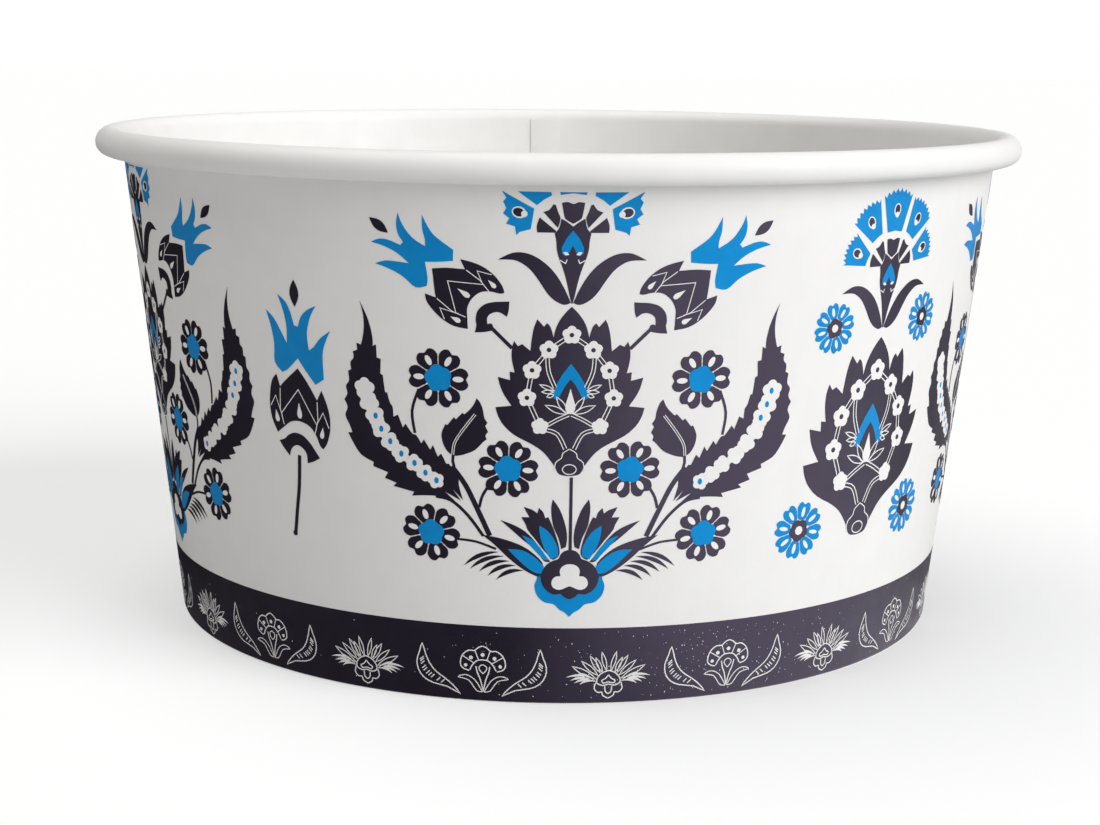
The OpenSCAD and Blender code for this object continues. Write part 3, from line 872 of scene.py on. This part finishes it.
def lotus():
    half = [dark(petal) for petal in LOTUS_PETALS]
    half += [fill(BLUE, 1, curved(flame)) for flame in LOTUS_FLAMES]
    half += [fill(DARK, 0, leaf(root, tip, 0.62, -0.55)) for root, tip in LASHES]
    shapes = both(half, LOTUS_AXIS)
    shapes.append(fill(BLUE, 0, curved(whole(CUP_HALF, LOTUS_AXIS))))
    shapes.append(fill(DARK, 2, smooth(whole(DOME_HALF, LOTUS_AXIS), 2, True)))
    shapes.append(fill(BARE, 3, smooth(whole(TREFOIL_HALF, LOTUS_AXIS), 2, True)))
    shapes.append(line(DARK, 0, [(LOTUS_AXIS, 23.3), (LOTUS_AXIS, 34)], 0.45))
    return shapes


# %% [markdown]
# ## The three motifs of the wall
# Everything above is put together into a bouquet, a column with a carnation over a large palmette,
# and the lone tulip between two bouquets.

# %% Motifs
COLUMN_DOT = 0.16
SIDE_ROSETTES = (((-18.2, 47.4), 4.3, 30), ((-8.4, 35), 4.2, 32), ((-19.3, 24.9), 4.2, 42))
SIDE_STEMS = (
    ([(-21, 45.6), (-22, 42.4), (-21.6, 39.2)], 0.4), ([(-11.3, 32.1), (-12, 30.8), (-12.4, 29.2)], 0.4),
    ([(-15.6, 24.3), (-12.8, 24.1), (-10, 23.2)], 0.34),
)


def bouquet():
    shapes = placed(palmette(), 1, 0, (0, 34.2))
    shapes += placed(carnation(True), 1.06, 0, (0, 58.2))
    shapes += lotus()
    side = leaves()
    side += placed(tulip(), 0.86, 57.5, (14.94, 40.21))
    side += [line(DARK, 0, [(-11, 55.1), (-8, 52.2)], 0.5), fill(DARK, 0, disc((-11, 55.1), 0.42))]
    for middle, radius, turn in SIDE_ROSETTES:
        side += rosette(middle, radius, turn)
    side += [line(DARK, 0, smooth(path), width) for path, width in SIDE_STEMS]
    # The photo has dots low on the left leaf, and at both ends of the string on the right one
    return shapes + both(side) + bead_dots(BEADS[2:]) + mirrored(bead_dots(BEADS[:3] + BEADS[-1:]))


def column():
    shapes = placed(palmette(), 1.255, 0, (0, 21.6))
    shapes += placed(carnation(), 1, 0, (0, 52.7))
    side = []
    for middle, radius, turn in (((-10, 53.6), 3.7, 30), ((-12.2, 23.9), 4.3, 10)):
        side += rosette(middle, radius, turn, BLUE, DARK, 8)
        side.append(fill(BARE, 3, disc(middle, COLUMN_DOT * radius, 8)))
    return shapes + both(side)


# %% [markdown]
# ## The foot band's line work
# Round the foot runs a dark band with a row of small flowers in bare lines, about a fifth of a
# millimetre thick: lotus, leaf, carnation, leaf, eleven times round. They are small cousins of the
# big motifs, so we draw them as strokes with the same tools.

# %% Band motifs
STROKE = 0.17
THIN = STROKE * 0.8
BAND_LOTUS_PETALS = (
    ((-0.3, 5.1), (-1.05, 8), 0.55), ((-0.9, 4.9), (-1.9, 7.1), 0.55), ((-1.2, 4.8), (-2.7, 7.4), 0.6),
    ((-1.5, 4.4), (-3.9, 6.6), 0.65), ((-1.8, 3.9), (-5.2, 5.8), 0.75), ((-1.9, 3.5), (-4.2, 4.8), 0.5),
)
BAND_LASHES = (
    ((-2.6, 4.2), (-6.1, 4.1)), ((-2.6, 3.9), (-5.5, 3.6)), ((-2.5, 3.7), (-4.9, 3.2)), ((-2.3, 3.5), (-4.1, 3)),
)
BAND_LOTUS_LINES = (
    [(0, 5.15), (-0.9, 4.8), (-1.6, 4), (-1.6, 3.2), (-0.8, 2.85), (0, 3.05)],
    [(0, 4.45), (-0.45, 3.9), (-0.95, 3.6), (-0.7, 3.2), (0, 3.4)],
    [(-1.8, 3.3), (-2, 2.4), (-1.5, 1.8), (-0.9, 1.8), (-0.75, 1.3), (0, 0.85)],
    [(-0.5, 2.7), (-0.4, 1.9), (0, 1.55)],
)


def band_lotus():
    half = [bare(leaf(foot, tip, width), THIN, True) for foot, tip, width in BAND_LOTUS_PETALS]
    half += [fill(BARE, 1, leaf(foot, tip, 0.34, -0.3)) for foot, tip in BAND_LASHES]
    return both(half + [bare(smooth(path, 3), STROKE) for path in BAND_LOTUS_LINES])


BAND_CARNATION_LINES = (
    ([(-2, 4.7), (-2.7, 4.9), (-3.2, 5.4), (-3.2, 6.3), (-2.8, 7.2), (-2, 7.8), (-1.2, 7.8), (-0.6, 8.3), (0, 8.55)],
     STROKE),
    ([(-1.9, 4.8), (-1.5, 5.6), (-0.8, 6.3), (0, 6.45)], STROKE),
    ([(-1, 5.4), (-0.8, 4.4), (-0.4, 3.4), (0, 1.6)], STROKE),
    ([(0, 5.7), (-0.5, 5.4), (-0.5, 4.9), (0, 4.3)], THIN),
    ([(-0.1, 1.5), (-1, 1.7), (-2.1, 3.2), (-3.6, 3.6), (-2.5, 4), (-1.2, 3.3), (-0.1, 1.5)], THIN),
)


def band_carnation():
    half = [bare(smooth(path, 3), width) for path, width in BAND_CARNATION_LINES]
    half += [bare([(-1.1, 7.8), (-0.6, 6.4)], THIN), bare([(-2.9, 6.9), (-1.3, 5.9)], THIN)]
    half += [fill(BARE, 1, disc(middle, r, 8)) for middle, r in (((-1.7, 6.7), 0.3), ((-2.5, 5.5), 0.27))]
    return both(half) + [fill(BARE, 1, disc((0, 7.2), 0.3, 8))]


SLIM_LEAF = [
    (-3.4, 1), (-4.5, 2.3), (-5.6, 3.2), (-6.9, 4.1), (-7.8, 5.2), (-8.4, 6.6), (-8.9, 8.2), (-9.3, 7), (-9.75, 5.6),
    (-9.6, 4.2), (-8.8, 3), (-7.4, 2.3), (-5.2, 1.9),
]
RUNGS = 10
BAND_SHIFT = -0.7


def slim_leaf():
    """A slim leaf beside a carnation, with a ladder of short strokes in it."""
    shapes = [bare(smooth(SLIM_LEAF, 2, True), STROKE, True)]
    spine = smooth([(-9, 5.9), (-8.6, 4.4), (-7.4, 3.3), (-5.2, 2.4)], 8)
    for i in range(RUNGS):
        x, y = spine[int((len(spine) - 1) * i / RUNGS)]
        shapes.append(bare([(x - 0.28, y - 0.22), (x + 0.26, y + 0.3)], STROKE * 0.9))
    return shapes


# %% [markdown]
# ## From flat drawing to film on the cone
# For each ink the outlines are filled and the lines widened into ribbons. A flat face can't lie on
# a cone, so the sheet is cut into strips along the cone's own straight lines, 1.5 degrees apart,
# and only then rolled. Ink has almost no thickness. Here a film is a fiftieth of a millimetre, just
# enough to be a closed solid, and each level lies a hundredth higher than the one below.

# %% Pressing and rolling
FILM = 0.02
FILM_REST = 0.02
LEVEL_STEP = 0.012
STRIP = radians(1.5)
PRINT_TOP = 73.6
SHARPEST = 0.6


def face_up(face):
    face.normal_update()
    if face.normal.z < 0:
        face.normal_flip()


def add_fill(mesh, points, z):
    face = mesh.faces.new([mesh.verts.new((x, y, z)) for x, y in points])
    face_up(face)
    bmesh.ops.triangulate(mesh, faces=[face])


def add_line(mesh, points, width, closed, z):
    """Extrudes a line into a ribbon: its own points go to one side, and the new ones to the other."""
    verts = [mesh.verts.new((x, y, z)) for x, y in points]
    pairs = list(zip(verts, verts[1:] + verts[:1] if closed else verts[1:]))
    edges = [mesh.edges.new(pair) for pair in pairs]
    new = set(verts_in(bmesh.ops.extrude_edge_only(mesh, edges=edges)["geom"]))
    last = len(verts) - 1
    for i, vert in enumerate(verts):
        before = points[i - 1] if closed or i > 0 else points[0]
        after = points[(i + 1) % len(points)] if closed or i < last else points[last]
        here = Vector(points[i])
        # At a line's two ends one of these has no length, and the other gives the direction
        into = (here - Vector(before)).normalized()
        out = (Vector(after) - here).normalized()
        along = (into + out).normalized()
        # A corner is drawn out to keep the ribbon's width, but not into a long spike
        reach = width / 2 / max(SHARPEST, along.dot(into if into.length else out))
        side = Vector((-along.y, along.x, 0)) * reach
        partner = next(e.other_vert(vert) for e in vert.link_edges if e.other_vert(vert) in new)
        partner.co = vert.co - side
        vert.co = vert.co + side
    for face in {f for v in new for f in v.link_faces}:
        face_up(face)


def flat_sheet(shapes, ink):
    """One ink of a motif as a flat film, cut into strips that can be rolled."""
    mesh = bmesh.new()
    for its_ink, level, points, width, closed in shapes:
        if its_ink == ink and width:
            add_line(mesh, points, width, closed, level * LEVEL_STEP)
        elif its_ink == ink:
            add_fill(mesh, points, level * LEVEL_STEP)
    if not mesh.verts:
        return mesh
    cut_flat(mesh, (0, PRINT_TOP, 0), (0, 1, 0), clear_outer=True)
    reach = max(abs(v.co.x) for v in mesh.verts)
    count = int(reach / BLANK_R / sin(LEAN) / STRIP) + 1
    for k in range(-count, count + 1):
        turn = k * STRIP * sin(LEAN)
        cut_flat(mesh, (0, -BLANK_R, 0), (cos(turn), -sin(turn), 0))
    raised = bmesh.ops.extrude_face_region(mesh, geom=mesh.faces[:], use_keep_orig=True)["geom"]
    bmesh.ops.translate(mesh, vec=(0, 0, FILM), verts=list(verts_in(raised)))
    return mesh


def roll_on(target, sheet, azimuth):
    """Rolls a flat film onto the cone, with its axis at an azimuth from the front."""
    data = bpy.data.meshes.new("sheet")
    sheet.to_mesh(data)
    start = len(target.verts)
    target.from_mesh(data)
    bpy.data.meshes.remove(data)
    target.verts.ensure_lookup_table()
    for vert in target.verts[start:]:
        x, y, z = vert.co
        rho = hypot(x, BLANK_R + y)
        turn = azimuth + atan2(x, BLANK_R + y) / sin(LEAN)
        lift = FILM_REST + z + seam_push(turn, rho - BLANK_R - FOLD_Z)
        radius = rho * sin(LEAN) + lift * cos(LEAN)
        vert.co = (radius * sin(turn), -radius * cos(turn), (rho - BLANK_R) * cos(LEAN) - lift * sin(LEAN))


# %% [markdown]
# ## Printing the bowl
# The pattern repeats round the bowl: bouquet, tulip, bouquet, carnation column. Two bouquets meet
# at the side seam, at the back, a degree further apart for the seam. Each ink becomes a piece of
# its own, and so does what is left bare: it is drawn as a film of board over the ink.

# %% Print
TULIP_STEP = 69.6
CARNATION_STEP = 83
REPEAT = TULIP_STEP + CARNATION_STEP
SEAM_ROOM = 1
BOUQUETS = (FRONT - REPEAT + SEAM_ROOM, FRONT - TULIP_STEP, FRONT, FRONT + CARNATION_STEP, FRONT + REPEAT)
TULIPS = (FRONT - TULIP_STEP / 2, FRONT + CARNATION_STEP + TULIP_STEP / 2)
COLUMNS = (FRONT + CARNATION_STEP / 2, FRONT - TULIP_STEP - CARNATION_STEP / 2)
BAND_STEP = 32.4
BAND_TURN = 5.5
BAND_REPEATS = 11

prints = {ink: bmesh.new() for ink in (DARK, BLUE, BARE)}


def print_motif(shapes, places):
    for ink, target in prints.items():
        sheet = flat_sheet(shapes, ink)
        for place in places if sheet.verts else ():
            roll_on(target, sheet, radians(place))
        sheet.free()


print_motif(bouquet(), BOUQUETS)
print_motif(column(), COLUMNS)
print_motif(lone_tulip(), TULIPS)
lotus_places = [FRONT + BAND_TURN + (i - BAND_REPEATS // 2) * BAND_STEP for i in range(BAND_REPEATS)]
print_motif(band_lotus(), lotus_places)
slim_leaves = slim_leaf() + placed(mirrored(slim_leaf()), 1, 0, (BAND_SHIFT, 0))
print_motif(band_carnation() + slim_leaves, [place + BAND_STEP / 2 for place in lotus_places])
print("print, faces for each ink:", {ink: len(mesh.faces) for ink, mesh in prints.items()})

# %% [markdown]
# ## The foot band
# A plain ring of dark ink, from round the fold up the wall. It is spun from a line beside the wall
# that starts with a short bend, and solidified like the board, only far thinner.

# %% Foot band
BAND_BEND, BAND_TOP, BAND_ROWS = radians(33), 11.7, 3


def make_band():
    mesh = bmesh.new()
    reach = FOLD_R + FILM_REST
    end = start_line(mesh, on_wall(reach * cos(BAND_BEND), -reach * sin(BAND_BEND)))
    end = bend_round(mesh, end, on_wall(0, 0), -BAND_BEND, BAND_ROWS)
    end = run_to(mesh, end, on_wall(reach, ROW))
    run_to(mesh, end, on_wall(reach, BAND_TOP - FOLD_Z), BAND_ROWS)
    spin_shell(mesh, FILM)
    push_seam(mesh)
    return mesh


finish_piece("foot_band_ink", make_band(), dark_ink, "dark_ink", "foot_band")

# %% [markdown]
# ## Specks on the band
# Pale specks lie on the dark band, thickest on the right of the front.
# Each is a tiny filled shape, thrown by a seeded random draw.

# %% Specks
SPECKS = 420
NEAR_SHARE, NEAR_PLACE, NEAR_SPREAD = 0.65, 18, 14
SPECK_UP, SPECK_R, SPECK_STRETCH = (1, 11), (0.025, 0.08), (0.6, 1.6)
chance = random.Random(7)

for _ in range(SPECKS):
    near = chance.random() < NEAR_SHARE
    place = chance.gauss(NEAR_PLACE, NEAR_SPREAD) if near else chance.uniform(-180, 180)
    middle = (0, chance.uniform(*SPECK_UP))
    speck = disc(middle, chance.uniform(*SPECK_R), 5, chance.uniform(*SPECK_STRETCH))
    print_motif([fill(BARE, 2, speck)], [place])

finish_piece("dark_flower_ink", prints[DARK], dark_ink, "dark_ink", "dark_print")
finish_piece("blue_flower_ink", prints[BLUE], blue_ink, "blue_ink", "blue_print")
finish_piece("bare_lines", prints[BARE], board_white, "paperboard")

# %% [markdown]
# ## Floor and light
# The photograph has a white ground and soft light from the right. One wide sun gives that without
# falling off over the floor. A weaker one stands high on the left: it reaches into the bowl and
# hardly touches the wall outside. A slightly warm world fills the rest. To the camera the floor
# glows a little by itself, like a light table, so its shadows stay pale as in the photo. To soft
# bounces it is light grey, so that the shady side isn't lit too much from below. To gloss alone
# the floor glows, bright in front and on the right and dim elsewhere, with no lamp or card there:
# a painted reflection that puts a pale violet sheen on the right half of the ink only.

# %% Floor, world and lamp
FLOOR_SIZE = 8
FLOOR_BOUNCE, FLOOR_SEEN, FLOOR_GLOW = 0.66, 0.55, 0.42
# Strengths and spans of the painted reflection glow that the ink's gloss sees on the floor: dim on the left and
# behind, bright on the right and in front
PAINTED_SHEEN_LEFT, PAINTED_SHEEN_RIGHT, PAINTED_SHEEN_BACK = 0.1, 1, 0.3
PAINTED_SHEEN_X_SPAN, PAINTED_SHEEN_Y_SPAN = (-0.01, 0.03), (-0.04, 0)
WORLD_FILL, WORLD_TINT = 0.3, (1, 0.985, 0.955)
SIDE_SUN = ("side_window", 2.6, 45, 57, 26, (0.985, 0.99, 1))
TOP_SUN = ("roof_window", 1.3, 50, -105, 71, (1, 1, 0.99))


def make_floor():
    """The ground, with one look for the camera, one for gloss and one for soft bounces."""
    mesh = bmesh.new()
    bmesh.ops.create_grid(mesh, x_segments=4, y_segments=4, size=FLOOR_SIZE / 2)
    material, nodes = new_material("floor")
    nodes.clear()
    bounce, paint = (
        put(nodes, "BsdfDiffuse", Color=(tone, tone, tone, 1)).outputs[0] for tone in (FLOOR_BOUNCE, FLOOR_SEEN)
    )
    seen = put(nodes, "AddShader", paint, put(nodes, "Emission", Strength=FLOOR_GLOW).outputs[0]).outputs[0]
    across = put(nodes, "SeparateXYZ", put(nodes, "TexCoord").outputs["Object"]).outputs
    # Painted reflection: a glow seen only by gloss, bright on the right and in front, where no lamp stands
    painted_sheen_strength = put(
        nodes, "Math", spread(nodes, across["X"], PAINTED_SHEEN_X_SPAN, PAINTED_SHEEN_LEFT, PAINTED_SHEEN_RIGHT),
        spread(nodes, across["Y"], PAINTED_SHEEN_Y_SPAN, 1, PAINTED_SHEEN_BACK),
    )
    painted_sheen_strength.operation = "MULTIPLY"
    painted_sheen_glow = put(nodes, "Emission", Strength=painted_sheen_strength.outputs[0]).outputs[0]
    path = put(nodes, "LightPath").outputs
    unseen = put(nodes, "MixShader", path["Is Glossy Ray"], bounce, painted_sheen_glow).outputs[0]
    put(nodes, "OutputMaterial", put(nodes, "MixShader", path["Is Camera Ray"], unseen, seen).outputs[0])
    return add_object("floor", mesh, material)


def make_world():
    world = bpy.data.worlds.new("studio")
    world.use_nodes = True
    bpy.context.scene.world = world
    nodes = world.node_tree.nodes
    seen = put(nodes, "LightPath").outputs["Is Camera Ray"]
    tint = put(nodes, "Mix")
    tint.data_type = "RGBA"
    for place, value in (("Factor", seen), ("A", (*WORLD_TINT, 1)), ("B", (1, 1, 1, 1))):
        feed(tint.inputs[place], value)
    feed(nodes["Background"].inputs["Strength"], spread(nodes, seen, (0, 1), WORLD_FILL, 1))
    feed(nodes["Background"].inputs["Color"], tint.outputs["Result"])


def make_sun(name, strength, width, azimuth, height, tint):
    """A wide sun, placed by degrees: its width, its azimuth from the front and its height."""
    lamp = bpy.data.lights.new(name, "SUN")
    lamp.energy = strength
    lamp.color = tint
    lamp.angle = radians(width)
    sun = bpy.data.objects.new(name, lamp)
    level, turn = cos(radians(height)), radians(azimuth)
    towards = Vector((level * sin(turn), -level * cos(turn), sin(radians(height))))
    sun.rotation_euler = towards.to_track_quat("Z", "Y").to_euler()
    bpy.context.collection.objects.link(sun)


make_floor()
make_world()
make_sun(*SIDE_SUN)
make_sun(*TOP_SUN)
bpy.context.scene.view_settings.view_transform = "Standard"
